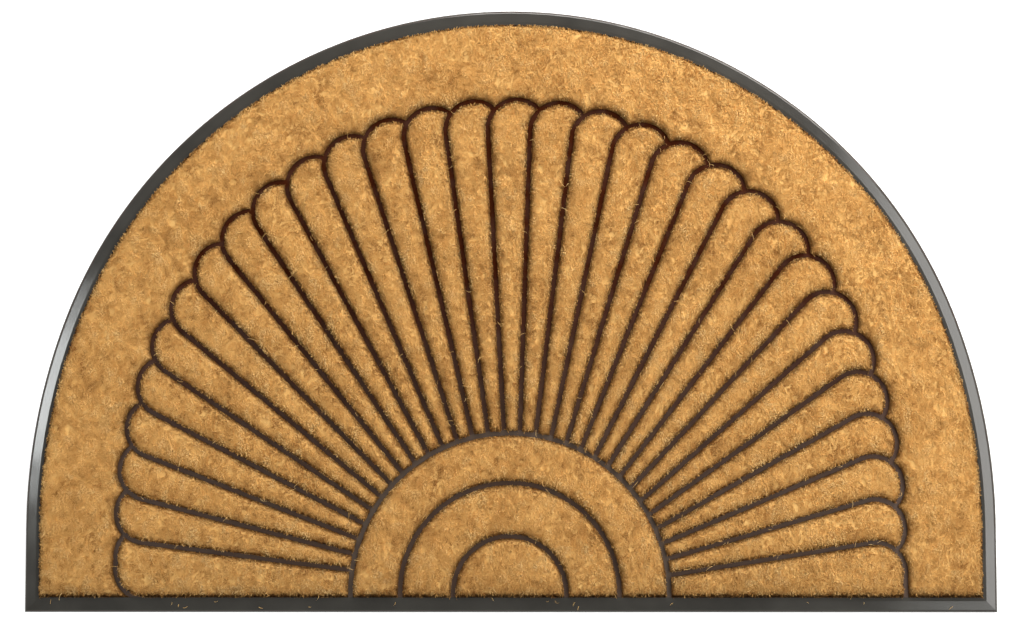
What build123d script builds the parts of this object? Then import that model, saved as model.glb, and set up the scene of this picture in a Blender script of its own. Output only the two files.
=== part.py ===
from build123d import *
from math import acos, asin, atan2, cos, degrees, radians, sin
import os

# A half-round door mat: coconut-fibre (coir) pile set into a moulded rubber tray.
# The tray is one moulding with a border, a backing sheet and raised ribs that draw a shell
# of long petals around a three-ring sun. The pile stands in the fields between the ribs.
# Millimetres, +Z up. The origin is on the floor under the middle of the mat, and the
# straight edge is the front, at -Y.

# Outline: a straight front edge, two short straight sides and a three-centred arch
WIDTH = 990.0
DEPTH = 618.0
SIDE_STRAIGHT = 88.0
SIDE_RADIUS = 610.0
FRONT = -DEPTH / 2

# Rubber tray
BORDER_WIDTH = 15.5
BORDER_HEIGHT = 8.5
BORDER_SLOPE_RUN = 12.0
BORDER_SLOPE_DROP = 1.5
BORDER_ROUNDING = 3.5
FLOOR_THICKNESS = 3.0
RIB_WIDTH = 5.0
RIB_TOP = 7.0

# Coir pile
PILE_TOP = 15.0

# Sun: three fields around a centre near the front edge, parted by ring ribs
SUN_HEIGHT = 20.0
RING_RADII = (57.5, 111.5, 162.0)

# Shell of petals
PETALS = 31
TIP_INSET = 93.0
CAP_RADIUS = 30.0
FIRST_CAP_HEIGHT = 57.0
FOOT_HEIGHT = 44.0
LAST_CAP_HEIGHT = 41.0
FIRST_RIB_ANGLE = 171.8
LAST_RIB_ANGLE = 6.4

# Drain channels under the backing
CHANNEL_WIDTH = 4.0
CHANNEL_DEPTH = 0.8
CHANNEL_PITCH = 33.0
CHANNEL_MARGIN = 30.0

# The crown arc meets both side arcs with a common tangent
side_offset = SIDE_RADIUS - WIDTH / 2
arch_rise = DEPTH - SIDE_STRAIGHT
crown_radius = (SIDE_RADIUS**2 - arch_rise**2 - side_offset**2) / (2 * (SIDE_RADIUS - arch_rise))
crown_y = FRONT + DEPTH - crown_radius
shoulder_y = FRONT + SIDE_STRAIGHT
shoulder_angle = degrees(atan2(crown_y - shoulder_y, side_offset))

sun_centre = Vector(0, FRONT + SUN_HEIGHT)
field_front = FRONT + BORDER_WIDTH
# A rib runs this far into the border, so that the two are one moulding
ROOT = RIB_WIDTH / 2


def arch_edges(inset, left_foot, right_foot):
    """Adds to the open BuildLine the outline's sides and arch, moved in by inset, with feet at these Y."""
    half = WIDTH / 2 - inset
    Line((-half, left_foot), (-half, shoulder_y))
    CenterArc((side_offset, shoulder_y), SIDE_RADIUS - inset, 180, -shoulder_angle)
    CenterArc((0, crown_y), crown_radius - inset, 180 - shoulder_angle, 2 * shoulder_angle - 180)
    CenterArc((-side_offset, shoulder_y), SIDE_RADIUS - inset, shoulder_angle, -shoulder_angle)
    Line((half, shoulder_y), (half, right_foot))


def outline_wire(inset):
    """The whole closed outline, moved in by inset."""
    front, half = FRONT + inset, WIDTH / 2 - inset
    with BuildLine() as outline:
        arch_edges(inset, front, front)
        Line((half, front), (-half, front))
    return outline.wires()[0]


def petal_centres():
    """The centres of the petals' round caps, evenly spaced on a line parallel to the outline."""
    with BuildLine() as track:
        arch_edges(TIP_INSET + CAP_RADIUS, FRONT + FIRST_CAP_HEIGHT, FRONT + LAST_CAP_HEIGHT)
    track_wire = track.wires()[0]
    points = [track_wire.position_at(i / (PETALS - 1)) for i in range(PETALS)]
    return points if points[0].X < 0 else points[::-1]


def direction_to(start, end):
    """Angle of the line from start to end, in degrees."""
    return degrees(atan2(end.Y - start.Y, end.X - start.X))


def cap_end_angle(centre, next_centre):
    """Where a cap meets the next petal's cap, as an angle about the first one's centre."""
    spacing = (next_centre - centre).length
    return direction_to(centre, next_centre) + degrees(acos(spacing / 2 / CAP_RADIUS))


def rib_root(index):
    """The point on the outer ring where the rib between petals index - 1 and index starts."""
    share = (index - 1) / (PETALS - 2)
    angle = radians(FIRST_RIB_ANGLE + (LAST_RIB_ANGLE - FIRST_RIB_ANGLE) * share)
    return sun_centre + Vector(cos(angle), sin(angle)) * RING_RADII[-1]


def petal_rib(index, centres):
    """One petal's rib: up its left side, round its cap, and down to the next petal."""
    centre = centres[index]
    left_x, right_x = centre.X - CAP_RADIUS, centre.X + CAP_RADIUS
    with BuildLine() as rib:
        if index == 0:
            foot_centre = Vector(centre.X, FRONT + FOOT_HEIGHT)
            CenterArc(foot_centre, CAP_RADIUS, 180, 90)
            Line((left_x, foot_centre.Y), (left_x, centre.Y))
            start_angle = 180
        else:
            root = rib_root(index)
            lean = degrees(asin(CAP_RADIUS / (centre - root).length))
            start_angle = direction_to(root, centre) + lean + 90
            reach = Vector(cos(radians(start_angle)), sin(radians(start_angle))) * CAP_RADIUS
            Line(root, centre + reach)
        if index < PETALS - 1:
            end_angle = cap_end_angle(centre, centres[index + 1])
            CenterArc(centre, CAP_RADIUS, start_angle, end_angle - start_angle)
        else:
            CenterArc(centre, CAP_RADIUS, start_angle, -start_angle)
            Line((right_x, centre.Y), (right_x, field_front - ROOT))
    return rib.edges()


def ring_rib(radius):
    """A half-ring rib around the sun, with both ends rooted in the front border."""
    with BuildLine() as rib:
        Line((-radius, field_front - ROOT), (-radius, sun_centre.Y))
        CenterArc(sun_centre, radius, 180, -180)
        Line((radius, sun_centre.Y), (radius, field_front - ROOT))
    return rib.edges()


def reach_from_sun(face):
    """How far a field's furthest corner is from the centre of the sun."""
    return max((corner.center() - sun_centre).length for corner in face.vertices())


def bearing_from_sun(face):
    """Angle of a field's centre about the centre of the sun, in degrees from the +X side."""
    return direction_to(sun_centre, face.center())


def pile_block(label, face):
    """Writes one field of pile: a plain block of coir from the tray's floor to the pile's top."""
    with BuildPart() as pile:
        with BuildSketch(Plane.XY.offset(FLOOR_THICKNESS)):
            add(face)
        extrude(amount=PILE_TOP - FLOOR_THICKNESS)
    pile.part.label = label
    export_step(pile.part, f"parts/{label}.step")


centres = petal_centres()
ribs = [petal_rib(index, centres) for index in range(PETALS)]
ribs += [ring_rib(radius) for radius in RING_RADII]

# Every field of pile is what the ribs leave of the room inside the border
with BuildSketch() as fields:
    make_face(outline_wire(BORDER_WIDTH))
    for rib in ribs:
        trace(rib, RIB_WIDTH, mode=Mode.SUBTRACT)

outer_face = fields.faces().sort_by(SortBy.AREA)[-1]
sun_faces = fields.faces().filter_by(lambda face: reach_from_sun(face) < RING_RADII[-1])
sun_faces = sun_faces.sort_by(SortBy.AREA)
petal_faces = [face for face in fields.faces() if face not in [outer_face, *sun_faces]]
petal_faces.sort(key=bearing_from_sun, reverse=True)

# The rubber tray
with BuildPart() as rubber_tray:
    with BuildSketch():
        make_face(outline_wire(0))
    extrude(amount=BORDER_HEIGHT)
    rim = rubber_tray.faces().sort_by(Axis.Z)[-1]
    chamfer(rim.edges(), BORDER_SLOPE_RUN, BORDER_SLOPE_DROP, reference=rim)
    shoulder_z = BORDER_HEIGHT - BORDER_SLOPE_DROP
    shoulder_edges = rubber_tray.edges().filter_by_position(Axis.Z, shoulder_z - 0.1, shoulder_z + 0.1)
    fillet(shoulder_edges, BORDER_ROUNDING)
    with BuildSketch(Plane.XY.offset(RIB_TOP)):
        make_face(outline_wire(BORDER_WIDTH))
    extrude(amount=BORDER_HEIGHT - RIB_TOP, mode=Mode.SUBTRACT)
    with BuildSketch(Plane.XY.offset(FLOOR_THICKNESS)):
        add(fields.sketch)
    extrude(amount=RIB_TOP - FLOOR_THICKNESS, mode=Mode.SUBTRACT)
    with BuildSketch() as channels:
        with GridLocations(CHANNEL_PITCH, 1, int(WIDTH / CHANNEL_PITCH), 1):
            Rectangle(CHANNEL_WIDTH, DEPTH)
        make_face(outline_wire(CHANNEL_MARGIN), mode=Mode.INTERSECT)
    extrude(amount=CHANNEL_DEPTH, mode=Mode.SUBTRACT)

print("petals", len(petal_faces), "sun", len(sun_faces), "crown radius", round(crown_radius, 2))
os.makedirs("parts", exist_ok=True)
rubber_tray.part.label = "rubber_tray"
export_step(rubber_tray.part, "parts/rubber_tray.step")
pile_block("coir_outer_field", outer_face)
for label, face in zip(("coir_sun_disc", "coir_sun_inner_ring", "coir_sun_outer_ring"), sun_faces):
    pile_block(label, face)
for number, face in enumerate(petal_faces, start=1):
    pile_block(f"coir_petal_{number:02d}", face)
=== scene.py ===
import bpy
import math
from collections import namedtuple
import numpy as np
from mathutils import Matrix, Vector, geometry


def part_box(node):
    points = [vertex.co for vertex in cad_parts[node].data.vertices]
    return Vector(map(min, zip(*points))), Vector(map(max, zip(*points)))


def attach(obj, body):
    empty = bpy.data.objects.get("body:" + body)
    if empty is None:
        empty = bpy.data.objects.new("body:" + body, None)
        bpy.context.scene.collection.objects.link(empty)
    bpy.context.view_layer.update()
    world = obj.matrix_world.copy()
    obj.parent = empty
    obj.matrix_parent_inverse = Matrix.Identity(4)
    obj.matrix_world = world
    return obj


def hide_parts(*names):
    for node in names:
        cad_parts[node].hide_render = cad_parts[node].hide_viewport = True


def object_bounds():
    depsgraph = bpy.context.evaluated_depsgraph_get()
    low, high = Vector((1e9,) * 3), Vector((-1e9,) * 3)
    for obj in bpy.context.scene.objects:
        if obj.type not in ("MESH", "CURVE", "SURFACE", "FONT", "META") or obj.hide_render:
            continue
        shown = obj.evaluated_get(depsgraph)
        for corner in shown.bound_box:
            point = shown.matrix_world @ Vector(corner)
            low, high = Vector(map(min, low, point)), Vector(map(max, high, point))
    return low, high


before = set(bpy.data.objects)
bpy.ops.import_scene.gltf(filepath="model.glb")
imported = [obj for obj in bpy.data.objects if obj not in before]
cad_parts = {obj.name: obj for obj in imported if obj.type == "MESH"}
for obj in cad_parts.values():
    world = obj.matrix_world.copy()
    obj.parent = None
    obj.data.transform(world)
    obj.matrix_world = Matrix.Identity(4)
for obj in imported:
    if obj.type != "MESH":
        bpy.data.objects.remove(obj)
cad_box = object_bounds()

# A half-round door mat: coir pile in a moulded rubber tray. Everything is in metres, in the
# CAD's frame: the straight edge is the front, at -Y, and the pile points up.

MM = 0.001
SEED = 11

PETALS = sorted(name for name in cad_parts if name.startswith("coir_petal_"))
SUN = ["coir_sun_outer_ring", "coir_sun_inner_ring", "coir_sun_disc"]
FIELDS = ["coir_outer_field", *PETALS, *SUN]

MAT_LOW, MAT_HIGH = cad_box
FIELD_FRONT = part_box("coir_outer_field")[0].y
FIELD_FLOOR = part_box("coir_outer_field")[0].z
PILE_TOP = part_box("coir_outer_field")[1].z
BORDER_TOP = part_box("rubber_tray")[1].z
RIB_TOP = 7 * MM
# The sun's centre, level with the tops of the ribs, and the middle of its outer ring rib
SUN_CENTRE = (0.0, -289 * MM, RIB_TOP)
SUN_RADIUS = 162 * MM

# The bed: the pile's closed body, just under the fibre tips
BED_DEPTH = 2.0 * MM
BED_SPACING = 2.2 * MM
BED_MARGIN = 1.1 * MM
BED_TONE = 0.5
# BED_SHADE is painted shade on the bed between the fibres
BED_SHADE = 0.88
RIM_STEP = 1.3 * MM

# The pile's edges: roots stand close to the rib, tips draw back and sink towards it, unevenly and
# most of all along the front border, where an edge's outward vector points along -Y
ROOT_GAP = 0.15 * MM
RECESS = 0.455 * MM
RECESS_WANDER = 0.65 * MM
FRONT_RECESS = 2.3 * MM
FRONT_BAND = 12 * MM
FRONT_FACING = 0.97
EDGE_DROP = 4.8 * MM
EDGE_RUN = 1.6 * MM
# EDGE_SHADE is painted shade on the pile where it sinks towards an edge
EDGE_SHADE = 0.78
SHOULDER_DROP = 2.0 * MM
SHOULDER_RUN = 4.5 * MM
FRONT_DROP = 1.5 * MM
FRONT_RUN = 5.0 * MM
# Painted shade on the pile near the front border: its strength and how far it reaches
FRONT_PAINTED_SHADE = 0.24
FRONT_PAINTED_SHADE_RUN = 30 * MM

# Fibres standing out of the bed. They have three sides, so that their ends are single triangles.
FIBRE_SIDES = 3
FIBRE_SPACING = 1.0 * MM
FIBRE_ROOT_RADIUS = 0.36 * MM
FIBRE_TIP_RADIUS = 0.26 * MM
FIBRE_SIZES = (0.75, 1.25)
FIBRE_RISE = 3.6 * MM
RIM_RISE = 4.2 * MM
RISE_SHARES = (0.85, 1.15)
FALL_SHARES = (0.75, 1.1)
LEAST_RISE = 1.2 * MM
UNEVENNESS = 0.24 * MM
LEAN = (0.9 * MM, 1.5 * MM)
OVERHANG = 0.2 * MM
# ROOT_SHADE is painted shade at each fibre's root
ROOT_SHADE = 0.86
MOST_FIBRES = 22000

# A closer row of long fibres along each field's edge
RIM_FIBRE_STEP = 0.6 * MM
RIM_FIBRE_STRAY = 0.15 * MM
RIM_FIBRE_BAND = 0.9 * MM

# Tufts that fibres gather in. A tuft's place, lean, height, tone and thinness each come from a
# salt of its own, and place and lean, which are pairs, from the next one too.
TUFT_PLACE_SALT = 1
TUFT_LEAN_SALT = 3
TUFT_HEIGHT_SALT = 5
TUFT_TONE_SALT = 6
TUFT_THIN_SALT = 7
TUFT_PITCH = (3.4 * MM, 5.4 * MM)
TUFT_SPREAD = 0.7
TUFT_GATHER = 0.25
TUFT_LEAN = (0.5 * MM, 0.9 * MM)
TUFT_HEIGHT = 0.5 * MM
THIN_TUFTS = 0.035
THIN_DROP = 1.5 * MM

# A fibre's tone: its middle value, and how far each cause moves it
TONE = 0.50
FIBRE_TONE = 0.02
TUFT_TONE = 0.07
STROKE_TONE = 0.04
MOTTLE_TONE = 0.25
STROKE_HEIGHT = 0.3 * MM
MOTTLE_HEIGHT = 0.3 * MM

# Layers of noise: weight, width of a bump, how far bumps are squeezed along Y (under 1 draws them
# out), and the salt that sets one layer's pattern apart from the others'
BED_LUMPS = ((0.5 * MM, 3.1 * MM, 1, 21), (0.3 * MM, 11 * MM, 1, 22))
PILE_SWELL = ((0.3 * MM, 26 * MM, 1, 23),)
STROKES = ((1.0, 2.0 * MM, 0.4, 24),)
MOTTLE = ((0.7, 3.2 * MM, 0.8, 25), (1.9, 6.5 * MM, 0.8, 26), (0.5, 13.0 * MM, 1, 27))
EDGE_WANDER = ((1.0, 4.2 * MM, 1, 31), (0.7, 1.9 * MM, 1, 32))

# Loose fibres lying on top, over most of the arch's area; the first few are on the front border
STRAYS = 620
STRAY_LENGTHS = (3.5 * MM, 8.5 * MM)
STRAY_RADIUS = 0.17 * MM
STRAY_SEGMENTS = 4
STRAY_BEND = 0.5
STRAY_AREA = 0.96
STRAY_INSET = 18 * MM
STRAY_TONES = (0.45, 0.9)
STRAY_LIFT = 0.35 * MM
STRAY_ARCH = 0.5 * MM
STRAY_DIP = 1.6 * MM
STRAY_UNEVENNESS = 0.15 * MM
BORDER_STRAYS = 18
BORDER_STRAY_SPAN = 0.97
BORDER_STRAY_BAND = (5 * MM, 14 * MM)
BORDER_STRAY_LENGTH = 0.6
BORDER_STRAY_ARCH = 0.25

# Coir dust and painted shade on the ribs grow from the first share to the second between two Y,
# and only a quarter of them lie on the sun's outer ring
DUST_AND_SHADE_BAND = (-190 * MM, 40 * MM)
DUST_AND_SHADE_SHARES = (0.35, 1.0)
DUST_AND_SHADE_ON_RING = 0.25
RING_REACH = 3.2 * MM

# Area lights: name, place, point that it faces, width and height, radiance, colour
LIGHTS = (
    ("back_bank", (0.6, 1.4, 0.95), (0.15, 0.05, 0.0), (1.8, 0.6), 10.9, (1.0, 0.97, 0.93)),
    ("right_bank", (1.5, 0.25, 1.6), (0.35, 0.1, 0.0), (1.9, 0.66), 6.4, (1.0, 0.98, 0.95)),
    ("left_window", (-1.56, 0.0, 1.65), (-0.49, -0.11, 0.0), (0.5, 0.4), 17.0, (0.97, 1.0, 1.0)),
    ("front_fill", (0.0, -2.3, 1.1), (0.0, 0.0, 0.0), (2.4, 0.8), 0.5, (1.0, 0.98, 0.96)),
    ("corner_window", (1.19, -1.05, 1.6), (0.48, -0.3, 0.0), (0.5, 0.5), 3.2, (1.0, 1.0, 0.96)),
)
# The dome's brightness against the height that a ray points to
DOME = ((0.14, 0.95), (0.24, 0.42), (0.5, 0.42), (0.88, 0.12))
FLOOR_SIZE = 16.0
FLOOR_GAP = 0.2 * MM

# The camera: its place along its own axes, its tilt in degrees, and its lens in picture widths
CAMERA_PLACE = (0.6 * MM, -1.8 * MM, 1494 * MM)
CAMERA_TILT = (2.5, 0.5, -0.06)
SENSOR_WIDTH = 36.0
FOCAL_WIDTHS = 1.42157

# A coir mesh's arrays. Quads and triangles index the vertices; each vertex has a tone and a shade,
# which is painted shade on its colour.
Pile = namedtuple("Pile", "vertices quads triangles tones shades")


# ---------------------------------------------------------------- outlines and noise

def open_edges(faces):
    """The directed edges that only one face has, each a pair of corners."""
    found = {}
    for face in faces:
        for a, b in zip(face, [*face[1:], face[0]]):
            if (b, a) in found:
                del found[(b, a)]
            else:
                found[(a, b)] = True
    return list(found)


def field_outline(node):
    """The corners of a field's outline, anticlockwise, from the top face of its CAD block."""
    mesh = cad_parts[node].data
    top = max(v.co.z for v in mesh.vertices)
    places = {}
    faces = []
    for face in mesh.polygons:
        corners = [mesh.vertices[i].co for i in face.vertices]
        if min(c.z for c in corners) < top - 0.01 * MM:
            continue
        keys = [(round(c.x, 6), round(c.y, 6)) for c in corners]
        for key, corner in zip(keys, corners):
            places[key] = (corner.x, corner.y)
        faces.append(keys)
    following = dict(open_edges(faces))
    start = min(following)
    loop, key = [places[start]], following[start]
    while key != start:
        loop.append(places[key])
        key = following[key]
    return np.array(loop)


def nearest_edge(points, loop, chunk=20000):
    """Each point's distance to the outline, negative outside it, and the unit vector towards it."""
    a, b = loop, np.roll(loop, -1, axis=0)
    along = b - a
    length2 = (along**2).sum(1)
    distance, outward = np.empty(len(points)), np.empty((len(points), 2))
    for s in range(0, len(points), chunk):
        p = points[s:s + chunk, None, :]
        t = np.clip(((p - a) * along).sum(2) / length2, 0, 1)
        gap = a + t[..., None] * along - p
        d2 = (gap**2).sum(2)
        best = d2.argmin(1)
        rows = np.arange(len(best))
        d = np.sqrt(d2[rows, best])
        above = (a[:, 1] > p[..., 1]) != (b[:, 1] > p[..., 1])
        with np.errstate(divide="ignore", invalid="ignore"):
            cross_x = a[:, 0] + (p[..., 1] - a[:, 1]) * along[:, 0] / along[:, 1]
        inside = (above & (p[..., 0] < cross_x)).sum(1) % 2 == 1
        distance[s:s + chunk] = np.where(inside, d, -d)
        outward[s:s + chunk] = gap[rows, best] / np.maximum(d, 1e-9)[:, None]
    return distance, outward


def cell_random(cells, salt):
    """A number from 0 to 1 for each integer cell, always the same for the same cell and salt."""
    x, y = cells[..., 0].astype(np.int64), cells[..., 1].astype(np.int64)
    # Large odd factors spread neighbouring cells apart, and only the last 20 bits are kept
    mixed = (x * 73856093) ^ (y * 19349663) ^ (salt * 83492791)
    mixed = (mixed ^ (mixed >> 13)) * 1274126177
    mixed = mixed ^ (mixed >> 16)
    return (mixed & 0xFFFFF) / float(0xFFFFF)


def cell_pair(cells, salt):
    """Two numbers from 0 to 1 for each integer cell."""
    return np.stack([cell_random(cells, salt), cell_random(cells, salt + 1)], 1)


def smooth_noise(points, cell, salt):
    """Smooth noise from -1 to 1 whose bumps are about one cell wide."""
    q = points / cell
    base = np.floor(q)
    f = q - base
    f = f * f * (3 - 2 * f)
    corner = [cell_random(base + np.array(o), salt) for o in ((0, 0), (1, 0), (0, 1), (1, 1))]
    low = corner[0] + (corner[1] - corner[0]) * f[:, 0]
    high = corner[2] + (corner[3] - corner[2]) * f[:, 0]
    return 2 * (low + (high - low) * f[:, 1]) - 1


def layered_noise(points, layers):
    """The sum of several layers of smooth noise."""
    total = np.zeros(len(points))
    for weight, cell, squeeze, salt in layers:
        total += weight * smooth_noise(points * (1, squeeze), cell, salt)
    return total


def tuft_of(points):
    """The centre of the tuft that each point belongs to, and the tuft's cell."""
    cell = np.floor(points / TUFT_PITCH)
    best = np.full(len(points), np.inf)
    centre, owner = np.zeros_like(points), np.zeros_like(points)
    for dx in (-1, 0, 1):
        for dy in (-1, 0, 1):
            c = cell + (dx, dy)
            jitter = cell_pair(c, TUFT_PLACE_SALT)
            place = (c + (1 - TUFT_SPREAD) / 2 + TUFT_SPREAD * jitter) * TUFT_PITCH
            d = ((place - points)**2).sum(1)
            nearer = d < best
            best[nearer], centre[nearer], owner[nearer] = d[nearer], place[nearer], c[nearer]
    return centre, owner


# ---------------------------------------------------------------- meshes

def new_object(name, vertices, faces_by_size, values=None):
    """A mesh object from numpy arrays: faces_by_size has one index array for each face size."""
    mesh = bpy.data.meshes.new(name)
    loops = np.concatenate([f.ravel() for f in faces_by_size]).astype(np.int32)
    totals = np.concatenate([np.full(len(f), f.shape[1]) for f in faces_by_size]).astype(np.int32)
    starts = np.concatenate([[0], np.cumsum(totals)[:-1]]).astype(np.int32)
    mesh.vertices.add(len(vertices))
    mesh.vertices.foreach_set("co", vertices.astype(np.float32).ravel())
    mesh.loops.add(len(loops))
    mesh.loops.foreach_set("vertex_index", loops)
    mesh.polygons.add(len(totals))
    mesh.polygons.foreach_set("loop_start", starts)
    mesh.polygons.foreach_set("loop_total", totals)
    mesh.update(calc_edges=True)
    for key, data in (values or {}).items():
        layer = mesh.attributes.new(key, "FLOAT", "POINT")
        layer.data.foreach_set("value", data.astype(np.float32))
    obj = bpy.data.objects.new(name, mesh)
    bpy.context.scene.collection.objects.link(obj)
    return obj


def joined(first, second):
    """Two coir meshes' arrays as one."""
    shift = len(first.vertices)
    return Pile(
        np.concatenate([first.vertices, second.vertices]),
        np.concatenate([first.quads, second.quads + shift]),
        np.concatenate([first.triangles, second.triangles + shift]),
        np.concatenate([first.tones, second.tones]),
        np.concatenate([first.shades, second.shades]),
    )


def scatter(loop, spacing, rng, margin):
    """Jittered points in an outline, at least margin from it, with what nearest_edge says of them."""
    low, high = loop.min(0), loop.max(0)
    xs = np.arange(low[0], high[0], spacing)
    ys = np.arange(low[1], high[1], spacing)
    grid = np.stack(np.meshgrid(xs, ys), -1).reshape(-1, 2)
    grid = grid + rng.uniform(0, spacing, grid.shape)
    distance, outward = nearest_edge(grid, loop)
    keep = distance > margin
    return grid[keep], distance[keep], outward[keep]


def rim_points(loop, step):
    """Points along the outline no further apart than step, with the outward normal at each."""
    a, b = loop, np.roll(loop, -1, axis=0)
    along = b - a
    length = np.linalg.norm(along, axis=1)
    count = np.maximum(np.ceil(length / step).astype(int), 1)
    pick = np.repeat(np.arange(len(loop)), count)
    t = np.concatenate([np.arange(c) / c for c in count])
    normal = np.stack([along[:, 1], -along[:, 0]], 1) / np.maximum(length, 1e-9)[:, None]
    return a[pick] + t[:, None] * along[pick], normal[pick]


def behind_front(points):
    """How far each point is behind the front border."""
    return np.maximum(points[:, 1] - FIELD_FRONT, 0)


def recess(points, outward):
    """How far the pile draws back from its edge beside each point."""
    facing_front = np.clip((-outward[:, 1] - FRONT_FACING) / (1 - FRONT_FACING), 0, 1)
    near_front = np.clip(1 - (points[:, 1] - FIELD_FRONT) / FRONT_BAND, 0, 1)
    wander = layered_noise(points, EDGE_WANDER)
    return FRONT_RECESS * facing_front * near_front + RECESS + RECESS_WANDER * wander


def edge_fall(points, distance, outward):
    """How far the pile's surface has sunk at each point because an edge is near."""
    depth = np.maximum(distance - recess(points, outward), 0)
    return (
        EDGE_DROP * np.exp(-depth / EDGE_RUN)
        + SHOULDER_DROP * np.exp(-depth / SHOULDER_RUN)
        + FRONT_DROP * np.exp(-behind_front(points) / FRONT_RUN)
    )


def edge_light(fall):
    """How light painted shade leaves the pile where it has sunk by fall."""
    return 1 - EDGE_SHADE * np.clip(fall / (EDGE_DROP + SHOULDER_DROP), 0, 1)


def bed_mesh(loop, rng):
    """The lumpy closed body of a field's pile."""
    inner, _, _ = scatter(loop, BED_SPACING, rng, BED_MARGIN)
    rim, normal = rim_points(loop, RIM_STEP)
    rim = rim - normal * ROOT_GAP
    edges = [(i, (i + 1) % len(rim)) for i in range(len(rim))]
    # Output type 1 keeps the triangles inside the rim
    made = geometry.delaunay_2d_cdt([Vector(p) for p in (*rim, *inner)], edges, [], 1, 1e-7)
    places = np.array([tuple(v) for v in made[0]])
    triangles = np.array(made[2], np.int64)
    distance, outward = nearest_edge(places, loop)
    fall = edge_fall(places, distance, outward)
    top_z = PILE_TOP - BED_DEPTH + layered_noise(places, BED_LUMPS) - fall
    top = np.column_stack([places, top_z])
    under = np.column_stack([places, np.full(len(places), FIELD_FLOOR)])
    count = len(places)
    a, b = np.array(open_edges(triangles.tolist()), np.int64).T
    return Pile(
        np.concatenate([top, under]),
        np.column_stack([a, a + count, b + count, b]),
        np.concatenate([triangles, triangles[:, ::-1] + count]),
        np.full(2 * count, BED_TONE),
        np.tile(BED_SHADE * edge_light(fall), 2),
    )


def fibres(points, distance, outward, rise, rng):
    """Fibres rooted at these points, each a closed prism that narrows to its tip."""
    n = len(points)
    centre, cell = tuft_of(points)
    tuft_lean = cell_pair(cell, TUFT_LEAN_SALT) * 2 - 1
    tuft_height = (cell_random(cell, TUFT_HEIGHT_SALT) * 2 - 1) * TUFT_HEIGHT
    tuft_height -= (cell_random(cell, TUFT_THIN_SALT) < THIN_TUFTS) * THIN_DROP
    tuft_tone = cell_random(cell, TUFT_TONE_SALT) * 2 - 1
    strokes = layered_noise(points, STROKES)
    mottle = layered_noise(points, MOTTLE)
    lean = (
        TUFT_GATHER * (centre - points)
        + tuft_lean * TUFT_LEAN
        + rng.normal(0, 1, (n, 2)) * LEAN
    )
    # Near an edge a fibre hardly leans over the groove
    room = distance + rng.exponential(OVERHANG, n)
    over = np.maximum((lean * outward).sum(1) - room, 0)
    lean -= outward * over[:, None]
    fall = edge_fall(points, distance, outward) * rng.uniform(*FALL_SHARES, n)
    tip_z = (
        PILE_TOP
        + layered_noise(points, PILE_SWELL)
        + tuft_height
        + strokes * STROKE_HEIGHT
        + mottle * MOTTLE_HEIGHT
        + rng.normal(0, UNEVENNESS, n)
        - fall
    )
    tip_z = np.maximum(tip_z, FIELD_FLOOR + LEAST_RISE)
    root_z = np.maximum(tip_z - rise * rng.uniform(*RISE_SHARES, n), FIELD_FLOOR)
    turn = rng.uniform(0, 2 * math.pi, n)
    size = rng.uniform(*FIBRE_SIZES, n)
    sides = range(FIBRE_SIDES)
    ends = ((FIBRE_ROOT_RADIUS, points, root_z), (FIBRE_TIP_RADIUS, points + lean, tip_z))
    vertices = np.empty((n, len(ends), FIBRE_SIDES, 3))
    for end, (radius, xy, z) in enumerate(ends):
        for k in sides:
            angle = turn + k * 2 * math.pi / FIBRE_SIDES
            vertices[:, end, k, 0] = xy[:, 0] + radius * size * np.cos(angle)
            vertices[:, end, k, 1] = xy[:, 1] + radius * size * np.sin(angle)
            vertices[:, end, k, 2] = z
    base = np.arange(n)[:, None] * 2 * FIBRE_SIDES
    following = [(k + 1) % FIBRE_SIDES for k in sides]
    quads = [base + [k, following[k], FIBRE_SIDES + following[k], FIBRE_SIDES + k] for k in sides]
    tone = (
        TONE
        + FIBRE_TONE * rng.normal(0, 1, n)
        + TUFT_TONE * tuft_tone
        + STROKE_TONE * strokes
        + MOTTLE_TONE * mottle
    )
    # Painted shade darkens the pile near the front border
    front_painted_shade = 1 - FRONT_PAINTED_SHADE * np.exp(-behind_front(points) / FRONT_PAINTED_SHADE_RUN)
    light = edge_light(fall) * front_painted_shade
    return Pile(
        vertices.reshape(-1, 3),
        np.concatenate(quads),
        np.concatenate([base + [2, 1, 0], base + [3, 4, 5]]),
        np.repeat(np.clip(tone, 0, 1), 2 * FIBRE_SIDES),
        np.repeat(np.column_stack([ROOT_SHADE * light, light]), FIBRE_SIDES, axis=1).ravel(),
    )


def rim_fibres(loop, rng):
    """Roots for the long fibres along a field's edge, with their edge distance and outward normal."""
    points, normal = rim_points(loop, RIM_FIBRE_STEP)
    points = points + rng.normal(0, RIM_FIBRE_STRAY, points.shape)
    points = points - normal * (ROOT_GAP + rng.uniform(0, RIM_FIBRE_BAND, len(points)))[:, None]
    distance, _ = nearest_edge(points, loop)
    keep = distance > ROOT_GAP
    return points[keep], distance[keep], normal[keep]


def coir_piece(name, node, pile, material):
    """One coir piece that stands for a field's CAD block, or for a part of it."""
    values = {"tone": pile.tones, "shade": pile.shades}
    obj = new_object(name, pile.vertices, [pile.quads, pile.triangles], values)
    obj.data.materials.append(material)
    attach(obj, "root")
    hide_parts(node)


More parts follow.
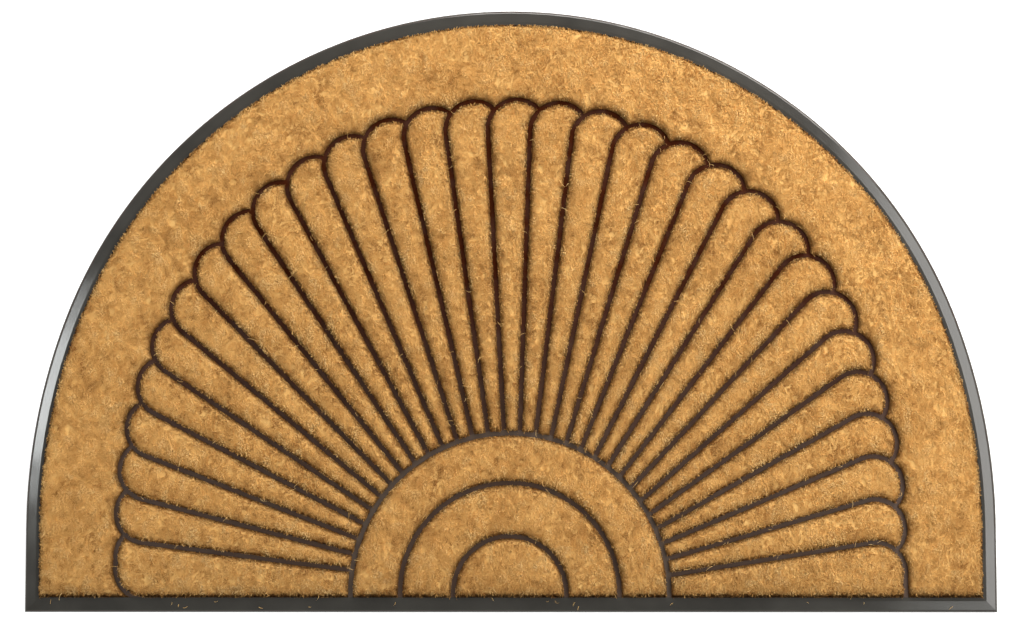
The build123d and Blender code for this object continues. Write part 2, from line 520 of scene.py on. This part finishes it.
def pile_field(node, rng, material):
    """All the pile of one field: one piece, or its fibres in several pieces and its bed in another."""
    loop = field_outline(node)
    bed = bed_mesh(loop, rng)
    points, distance, outward = scatter(loop, FIBRE_SPACING, rng, ROOT_GAP)
    rim, rim_distance, rim_outward = rim_fibres(loop, rng)
    rise = np.repeat([FIBRE_RISE, RIM_RISE], [len(points), len(rim)])
    points = np.concatenate([points, rim])
    distance = np.concatenate([distance, rim_distance])
    outward = np.concatenate([outward, rim_outward])
    order = np.argsort(np.arctan2(points[:, 1] - MAT_LOW.y, points[:, 0]))
    parts = np.array_split(order, math.ceil(len(points) / MOST_FIBRES))
    piles = [fibres(points[part], distance[part], outward[part], rise[part], rng) for part in parts]
    if len(piles) == 1:
        coir_piece(f"{node}_pile", node, joined(piles[0], bed), material)
        return
    for number, pile in enumerate(piles, start=1):
        coir_piece(f"{node}_pile_{number}", node, pile, material)
    coir_piece(f"{node}_bed", node, bed, material)


def stray_fibres(rng):
    """Loose fibres: long thin bent ones lying on the pile, over the grooves and on the border."""
    reach = rng.uniform(*STRAY_LENGTHS, STRAYS)
    heading = rng.uniform(0, 2 * math.pi, STRAYS)
    bend = rng.normal(0, STRAY_BEND, STRAYS)
    angle = rng.uniform(0, math.pi, STRAYS)
    spread = np.sqrt(rng.uniform(0.0, STRAY_AREA, STRAYS))
    half_width = MAT_HIGH.x - STRAY_INSET
    depth = MAT_HIGH.y - MAT_LOW.y - 2 * STRAY_INSET
    x = half_width * spread * np.cos(angle)
    y = MAT_LOW.y + STRAY_INSET + depth * spread * np.sin(angle)
    on_border = np.arange(STRAYS) < BORDER_STRAYS
    border_x = rng.uniform(-BORDER_STRAY_SPAN, BORDER_STRAY_SPAN, STRAYS) * MAT_HIGH.x
    border_y = MAT_LOW.y + rng.uniform(*BORDER_STRAY_BAND, STRAYS)
    start = np.column_stack([np.where(on_border, border_x, x), np.where(on_border, border_y, y)])
    reach = np.where(on_border, reach * BORDER_STRAY_LENGTH, reach)
    resting = np.where(on_border, BORDER_TOP, PILE_TOP)
    arching = np.where(on_border, BORDER_STRAY_ARCH, 1.0)

    steps = np.linspace(0, 1, STRAY_SEGMENTS + 1)
    turned = heading[:, None] + bend[:, None] * steps
    along = np.stack([np.cos(turned), np.sin(turned)], 2) * (reach[:, None] * steps)[..., None]
    middle = along + start[:, None, :]
    arch = STRAY_ARCH * np.sin(math.pi * steps) - STRAY_DIP * (np.abs(steps - 0.5) * 2)**4
    rise = resting[:, None] + STRAY_LIFT + arch * arching[:, None]
    rise = rise + rng.normal(0, STRAY_UNEVENNESS, STRAYS)[:, None]
    side = np.column_stack([-np.sin(heading), np.cos(heading)])
    rings = []
    for k in range(FIBRE_SIDES):
        turn = k * 2 * math.pi / FIBRE_SIDES
        shift = side * STRAY_RADIUS * math.cos(turn)
        z = rise[..., None] + STRAY_RADIUS * math.sin(turn)
        rings.append(np.concatenate([middle + shift[:, None, :], z], 2))
    corners = FIBRE_SIDES * len(steps)
    base = np.arange(STRAYS)[:, None] * corners
    quads = []
    for first in range(0, FIBRE_SIDES * STRAY_SEGMENTS, FIBRE_SIDES):
        for k in range(FIBRE_SIDES):
            a, b = first + k, first + (k + 1) % FIBRE_SIDES
            quads.append(base + [a, b, b + FIBRE_SIDES, a + FIBRE_SIDES])
    last = FIBRE_SIDES * STRAY_SEGMENTS
    return Pile(
        np.stack(rings, 2).reshape(-1, 3),
        np.concatenate(quads),
        np.concatenate([base + [2, 1, 0], base + [last, last + 1, last + 2]]),
        np.repeat(rng.uniform(*STRAY_TONES, STRAYS), corners),
        np.ones(STRAYS * corners),
    )


# ---------------------------------------------------------------- shader nodes

def new_material(name):
    """A material with nodes, its node tree and its shader."""
    material = bpy.data.materials.new(name)
    material.use_nodes = True
    shader = next(n for n in material.node_tree.nodes if n.type == "BSDF_PRINCIPLED")
    return material, material.node_tree, shader


def set_input(tree, socket, value):
    """Sets a socket to a number or a colour, or links it to another node's output."""
    if isinstance(value, bpy.types.NodeSocket):
        tree.links.new(value, socket)
    else:
        socket.default_value = value


def attribute(tree, name):
    """A value that the mesh holds for each vertex."""
    node = tree.nodes.new("ShaderNodeAttribute")
    node.attribute_name = name
    return node.outputs["Fac"]


def noise(tree, place, scale, detail):
    """Procedural noise from 0 to 1."""
    node = tree.nodes.new("ShaderNodeTexNoise")
    tree.links.new(place, node.inputs["Vector"])
    node.inputs["Scale"].default_value = scale
    node.inputs["Detail"].default_value = detail
    return node.outputs["Fac"]


def map_range(tree, value, target=(0.0, 1.0), source=(0.0, 1.0)):
    """Moves a value from the source range to the target range, and clamps it there."""
    node = tree.nodes.new("ShaderNodeMapRange")
    tree.links.new(value, node.inputs["Value"])
    node.inputs["From Min"].default_value, node.inputs["From Max"].default_value = source
    node.inputs["To Min"].default_value, node.inputs["To Max"].default_value = target
    return node.outputs["Result"]


def maths(tree, operation, *values):
    """The result of a Math node."""
    node = tree.nodes.new("ShaderNodeMath")
    node.operation = operation
    for socket, value in zip(node.inputs, values):
        set_input(tree, socket, value)
    return node.outputs[0]


def split_vector(tree, vector):
    """A vector's three outputs, X, Y and Z."""
    node = tree.nodes.new("ShaderNodeSeparateXYZ")
    tree.links.new(vector, node.inputs[0])
    return node.outputs


def ramp(tree, value, stops):
    """A colour ramp through stops, from left to right, each a position and a colour."""
    node = tree.nodes.new("ShaderNodeValToRGB")
    tree.links.new(value, node.inputs["Fac"])
    elements = node.color_ramp.elements
    elements[0].position, elements[1].position = stops[0][0], stops[-1][0]
    elements[0].color, elements[1].color = (*stops[0][1], 1), (*stops[-1][1], 1)
    for position, colour in stops[1:-1]:
        elements.new(position).color = (*colour, 1)
    return node.outputs["Color"]


def mix(tree, share, first, second, blend_type="MIX"):
    """The first colour, with a share of the second mixed or multiplied in."""
    node = tree.nodes.new("ShaderNodeMix")
    node.data_type = "RGBA"
    node.blend_type = blend_type
    # A Mix node's factor is input 0, and its two colours are inputs 6 and 7
    for number, value in ((0, share), (6, first), (7, second)):
        set_input(tree, node.inputs[number], value)
    return node.outputs[2]


def bump(tree, height, strength, distance, normal=None):
    """A surface normal tilted by a height, on top of another bump's normal if one is given."""
    node = tree.nodes.new("ShaderNodeBump")
    tree.links.new(height, node.inputs["Height"])
    node.inputs["Strength"].default_value = strength
    node.inputs["Distance"].default_value = distance
    if normal is not None:
        tree.links.new(normal, node.inputs["Normal"])
    return node.outputs["Normal"]


# ---------------------------------------------------------------- materials

def coir_material():
    """Golden-brown coconut fibre: each fibre has its own tone, and is darker at its root, which is
    painted shade.
    """
    material, tree, shader = new_material("coir")
    place = tree.nodes.new("ShaderNodeTexCoord").outputs["Object"]
    patches = map_range(tree, noise(tree, place, scale=9.0, detail=3.0), target=(-0.14, 0.14))
    tone = maths(tree, "ADD", attribute(tree, "tone"), patches)
    golden = ramp(tree, tone, (
        (0.0, (0.42, 0.19, 0.045)),
        (0.3, (0.71, 0.40, 0.12)),
        (0.65, (0.90, 0.58, 0.21)),
        (1.0, (0.96, 0.68, 0.30)),
    ))
    # The shade attribute is painted shade: at 0 it turns the colour a deep brown, at 1 it leaves it as
    # it is
    depth = ramp(tree, attribute(tree, "shade"), (
        (0.0, (0.06, 0.028, 0.014)),
        (0.5, (0.52, 0.45, 0.39)),
        (1.0, (1.0, 1.0, 1.0)),
    ))
    grain = noise(tree, place, scale=900.0, detail=2.0)
    tree.links.new(mix(tree, 1.0, golden, depth, "MULTIPLY"), shader.inputs["Base Color"])
    tree.links.new(map_range(tree, grain, target=(0.62, 0.95)), shader.inputs["Roughness"])
    tree.links.new(bump(tree, grain, strength=0.35, distance=0.3 * MM), shader.inputs["Normal"])
    shader.inputs["Specular IOR Level"].default_value = 0.25
    return material


def rib_and_dust_shade_shares(tree, place):
    """Two shares from 0 to 1: how surely a point is on a rib or a field's floor, and its dust and
    painted shade.
    """
    coordinates = split_vector(tree, place)
    low = map_range(tree, coordinates["Z"], source=(RIB_TOP + 0.2 * MM, RIB_TOP + 0.1 * MM))
    facing = tree.nodes.new("ShaderNodeNewGeometry").outputs["Normal"]
    level = map_range(tree, split_vector(tree, facing)["Z"], source=(0.8, 0.98))
    low_level = maths(tree, "MULTIPLY", low, level)
    # Dust and painted shade are patchy, thickest on the long ribs away from the front, thinnest on the
    # sun's outer ring
    scattered = noise(tree, place, scale=60.0, detail=4.0)
    patchy = map_range(tree, scattered, target=(0.8, 1.0), source=(0.35, 0.6))
    behind = map_range(tree, coordinates["Y"], target=DUST_AND_SHADE_SHARES, source=DUST_AND_SHADE_BAND)
    from_sun = tree.nodes.new("ShaderNodeVectorMath")
    from_sun.operation = "DISTANCE"
    tree.links.new(place, from_sun.inputs[0])
    from_sun.inputs[1].default_value = SUN_CENTRE
    on_ring = maths(tree, "COMPARE", from_sun.outputs["Value"], SUN_RADIUS, RING_REACH)
    kept = map_range(tree, on_ring, target=(1.0, DUST_AND_SHADE_ON_RING))
    dust_and_shade = maths(tree, "MULTIPLY", maths(tree, "MULTIPLY", behind, patchy), kept)
    return low_level, dust_and_shade


def rubber_material():
    """Near-black moulded rubber: a satin skin with a fine grain, and on the ribs a painted sheen where
    they are clean and brown coir dust with painted shade where they are dusty.
    """
    material, tree, shader = new_material("rubber")
    place = tree.nodes.new("ShaderNodeTexCoord").outputs["Object"]
    cloud = noise(tree, place, scale=22.0, detail=5.0)
    clean = ramp(tree, cloud, ((0.3, (0.036, 0.034, 0.030)), (0.75, (0.053, 0.050, 0.044))))
    low_level, dust_and_shade = rib_and_dust_shade_shares(tree, place)
    # Clean ribs are lighter, a painted sheen; dusty ribs are dark brown, coir dust with painted shade
    rib_dust_shade_and_sheen = mix(tree, dust_and_shade, (0.090, 0.067, 0.051, 1), (0.054, 0.012, 0.0034, 1))
    tree.links.new(mix(tree, low_level, clean, rib_dust_shade_and_sheen), shader.inputs["Base Color"])
    dust_and_shade_cover = maths(tree, "MULTIPLY", low_level, dust_and_shade)
    tree.links.new(map_range(tree, dust_and_shade_cover, target=(0.5, 0.03)), shader.inputs["Specular IOR Level"])
    satin = map_range(tree, cloud, target=(0.12, 0.22))
    dulled = maths(tree, "MULTIPLY", low_level, 0.25)
    tree.links.new(maths(tree, "ADD", satin, dulled), shader.inputs["Roughness"])
    sway = noise(tree, place, scale=14.0, detail=1.0)
    wavy = bump(tree, sway, strength=1.0, distance=1.0 * MM)
    grain = noise(tree, place, scale=700.0, detail=3.0)
    grained = bump(tree, grain, strength=0.12, distance=0.4 * MM, normal=wavy)
    tree.links.new(grained, shader.inputs["Normal"])
    return material


# ---------------------------------------------------------------- stage

def make_dome():
    """A soft white dome that is brightest near the horizon."""
    world = bpy.data.worlds.new("studio")
    world.use_nodes = True
    tree = world.node_tree
    direction = tree.nodes.new("ShaderNodeTexCoord").outputs["Generated"]
    stops = [(height, (level, level, level)) for height, level in DOME]
    sky = tree.nodes["Background"]
    sky.inputs["Color"].default_value = (1.0, 0.99, 0.97, 1)
    tree.links.new(ramp(tree, split_vector(tree, direction)["Z"], stops), sky.inputs["Strength"])
    bpy.context.scene.world = world


def make_softbox(name, place, target, size, radiance, colour):
    """A rectangular area light that faces its target, as bright as its radiance and area make it."""
    lamp = bpy.data.lights.new(name, "AREA")
    lamp.shape = "RECTANGLE"
    lamp.size, lamp.size_y = size
    lamp.energy = radiance * math.pi * size[0] * size[1]
    lamp.color = colour
    obj = bpy.data.objects.new(name, lamp)
    obj.location = place
    obj.rotation_mode = "QUATERNION"
    obj.rotation_quaternion = (Vector(target) - Vector(place)).to_track_quat("-Z", "Y")
    bpy.context.scene.collection.objects.link(obj)


def make_floor():
    """A white floor a hair under the mat."""
    corners = np.array([(-1, -1, 0), (1, -1, 0), (1, 1, 0), (-1, 1, 0)], float) * FLOOR_SIZE / 2
    floor = new_object("floor", corners, [np.array([[0, 1, 2, 3]])])
    floor.location.z = -FLOOR_GAP
    material, _, shader = new_material("floor_paper")
    shader.inputs["Base Color"].default_value = (0.93, 0.93, 0.925, 1)
    shader.inputs["Emission Color"].default_value = (1, 1, 0.99, 1)
    shader.inputs["Emission Strength"].default_value = 0.62
    shader.inputs["Roughness"].default_value = 0.9
    floor.data.materials.append(material)


def make_camera():
    """Almost straight overhead, leaning a little to the front."""
    data = bpy.data.cameras.new("camera")
    data.sensor_width = SENSOR_WIDTH
    data.lens = SENSOR_WIDTH * FOCAL_WIDTHS
    camera = bpy.data.objects.new("camera", data)
    camera.rotation_euler = [math.radians(angle) for angle in CAMERA_TILT]
    place = Vector(CAMERA_PLACE)
    place.rotate(camera.rotation_euler)
    camera.location = place
    bpy.context.scene.collection.objects.link(camera)
    bpy.context.scene.camera = camera


# ---------------------------------------------------------------- the mat

make_dome()
for light in LIGHTS:
    make_softbox(*light)
make_floor()
make_camera()
coir, rubber = coir_material(), rubber_material()

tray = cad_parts["rubber_tray"]
tray.data.materials.clear()
tray.data.materials.append(rubber)

for number, field in enumerate(FIELDS):
    pile_field(field, np.random.default_rng(SEED + number), coir)
strays = stray_fibres(np.random.default_rng(SEED + len(FIELDS)))
coir_piece("stray_fibres", "coir_outer_field", strays, coir)

bpy.context.scene.view_settings.view_transform = "Standard"
